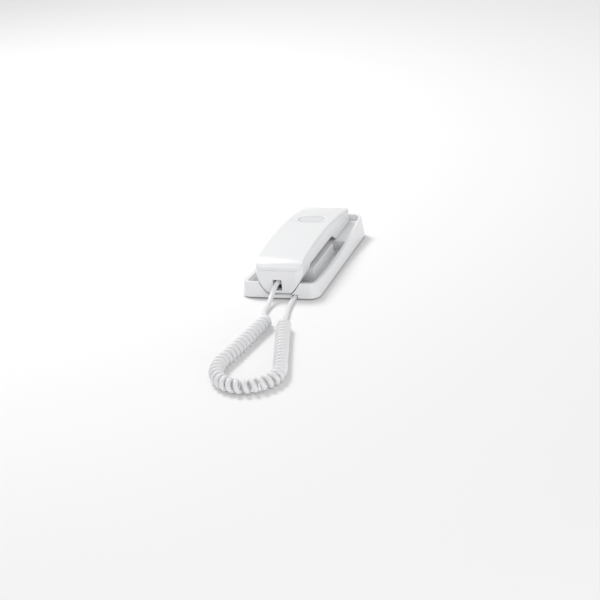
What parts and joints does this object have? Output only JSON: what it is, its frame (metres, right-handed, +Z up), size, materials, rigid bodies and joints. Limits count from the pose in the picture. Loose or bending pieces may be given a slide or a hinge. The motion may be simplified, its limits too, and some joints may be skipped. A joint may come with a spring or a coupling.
{
  "type": "one-piece corded telephone",
  "caption": "White corded telephone with an arched handset resting on a shallow tray base, a coiled handset cord, and wall keyholes in its underside.",
  "frame": {"origin": "middle of the base's footprint, on the surface that its feet stand on, without the handset cord", "axes": "+Y along the phone towards the ear end (up, when it hangs on a wall), +Z up out of the base towards the handset's back, +X to the right with the mouth end nearest"},
  "size_m": [0.1209, 0.468, 0.049],
  "materials": {
    "white_shell": "glossy injection-moulded white",
    "cover_plastic": "fine-textured off-white",
    "key_plastic": "satin pale grey",
    "lens_plastic": "polished milky white",
    "foot_rubber": "matt",
    "screw_steel": "zinc plated",
    "ballast_steel": "plain pressed steel",
    "board_laminate": "solder-masked laminate",
    "jack_plastic": "plain moulded",
    "plug_plastic": "clear, slightly cloudy",
    "cord_skin": "smooth semi-gloss",
    "capsule_plastic": "plain moulded",
    "key_silicone": "translucent grey silicone",
    "capsule_metal": "drawn can",
    "spring_steel": "drawn spring wire"
  },
  "bodies": {
    "base": {"base_shell": "white_shell", "base_cover": "cover_plastic", "base_feet": "foot_rubber", "base_screws": "screw_steel", "base_board": "board_laminate", "base_weight": "ballast_steel", "base_cord_jack": "jack_plastic", "line_jack": "jack_plastic", "sounder": "capsule_plastic", "ringer_switch": "jack_plastic", "hook_spring": "spring_steel", "hook_switch": "capsule_plastic", "hang_tab": "cover_plastic", "base_plug": "plug_plastic", "cord_coil": "cord_skin", "cord_lead_base": "cord_skin"},
    "handset": {"handset_back": "white_shell", "handset_front": "white_shell", "handset_screws": "screw_steel", "handset_board": "board_laminate", "handset_weight": "ballast_steel", "lamp_lens": "lens_plastic", "lamp_board": "board_laminate", "receiver": "capsule_plastic", "receiver_gasket": "foot_rubber", "microphone": "capsule_metal", "microphone_boot": "foot_rubber", "handset_jack": "jack_plastic", "key_mat": "key_silicone", "handset_plug": "plug_plastic", "cord_lead_handset": "cord_skin"},
    "plunger": {"hook_plunger": "cover_plastic"},
    "ringer": {"ringer_knob": "key_plastic"},
    "key_1": {"key_1": "key_plastic"},
    "key_2": {"key_2": "key_plastic"},
    "key_3": {"key_3": "key_plastic"},
    "key_4": {"key_4": "key_plastic"},
    "key_5": {"key_5": "key_plastic"},
    "key_6": {"key_6": "key_plastic"},
    "key_7": {"key_7": "key_plastic"},
    "key_8": {"key_8": "key_plastic"},
    "key_9": {"key_9": "key_plastic"},
    "key_star": {"key_star": "key_plastic"},
    "key_0": {"key_0": "key_plastic"},
    "key_hash": {"key_hash": "key_plastic"},
    "key_redial": {"key_redial": "key_plastic"},
    "key_mute": {"key_mute": "key_plastic"},
    "key_flash": {"key_flash": "key_plastic"}
  },
  "joints": [
    {"name": "handset_lift", "type": "slide", "parent": "base", "child": "handset", "axis": [0, 0, 1], "range_m": [0, 0.08]},
    {"name": "plunger_rise", "type": "slide", "parent": "base", "child": "plunger", "axis": [0, 0, 1], "range_m": [0, 0.003], "deforming": ["hook_spring"]},
    {"name": "ringer_slide", "type": "slide", "parent": "base", "child": "ringer", "axis": [0, 1, 0], "range_m": [-0.003, 0.003]},
    {"name": "key_1_press", "type": "slide", "parent": "handset", "child": "key_1", "axis": [0, 0, 1], "range_m": [0, 0.0012], "stiffness_N_per_m": 600},
    {"name": "key_2_press", "type": "slide", "parent": "handset", "child": "key_2", "axis": [0, 0, 1], "range_m": [0, 0.0012], "stiffness_N_per_m": 600},
    {"name": "key_3_press", "type": "slide", "parent": "handset", "child": "key_3", "axis": [0, 0, 1], "range_m": [0, 0.0012], "stiffness_N_per_m": 600},
    {"name": "key_4_press", "type": "slide", "parent": "handset", "child": "key_4", "axis": [0, 0, 1], "range_m": [0, 0.0012], "stiffness_N_per_m": 600},
    {"name": "key_5_press", "type": "slide", "parent": "handset", "child": "key_5", "axis": [0, 0, 1], "range_m": [0, 0.0012], "stiffness_N_per_m": 600},
    {"name": "key_6_press", "type": "slide", "parent": "handset", "child": "key_6", "axis": [0, 0, 1], "range_m": [0, 0.0012], "stiffness_N_per_m": 600},
    {"name": "key_7_press", "type": "slide", "parent": "handset", "child": "key_7", "axis": [0, 0, 1], "range_m": [0, 0.0012], "stiffness_N_per_m": 600},
    {"name": "key_8_press", "type": "slide", "parent": "handset", "child": "key_8", "axis": [0, 0, 1], "range_m": [0, 0.0012], "stiffness_N_per_m": 600},
    {"name": "key_9_press", "type": "slide", "parent": "handset", "child": "key_9", "axis": [0, 0, 1], "range_m": [0, 0.0012], "stiffness_N_per_m": 600},
    {"name": "key_star_press", "type": "slide", "parent": "handset", "child": "key_star", "axis": [0, 0, 1], "range_m": [0, 0.0012], "stiffness_N_per_m": 600},
    {"name": "key_0_press", "type": "slide", "parent": "handset", "child": "key_0", "axis": [0, 0, 1], "range_m": [0, 0.0012], "stiffness_N_per_m": 600},
    {"name": "key_hash_press", "type": "slide", "parent": "handset", "child": "key_hash", "axis": [0, 0, 1], "range_m": [0, 0.0012], "stiffness_N_per_m": 600},
    {"name": "key_redial_press", "type": "slide", "parent": "handset", "child": "key_redial", "axis": [0, 0, 1], "range_m": [0, 0.0012], "stiffness_N_per_m": 600},
    {"name": "key_mute_press", "type": "slide", "parent": "handset", "child": "key_mute", "axis": [0, 0, 1], "range_m": [0, 0.0012], "stiffness_N_per_m": 600},
    {"name": "key_flash_press", "type": "slide", "parent": "handset", "child": "key_flash", "axis": [0, 0, 1], "range_m": [0, 0.0012], "stiffness_N_per_m": 600}
  ],
  "couplings": [
    {"joint": "plunger_rise", "follows": "handset_lift", "ratio": 0.0375}
  ]
}
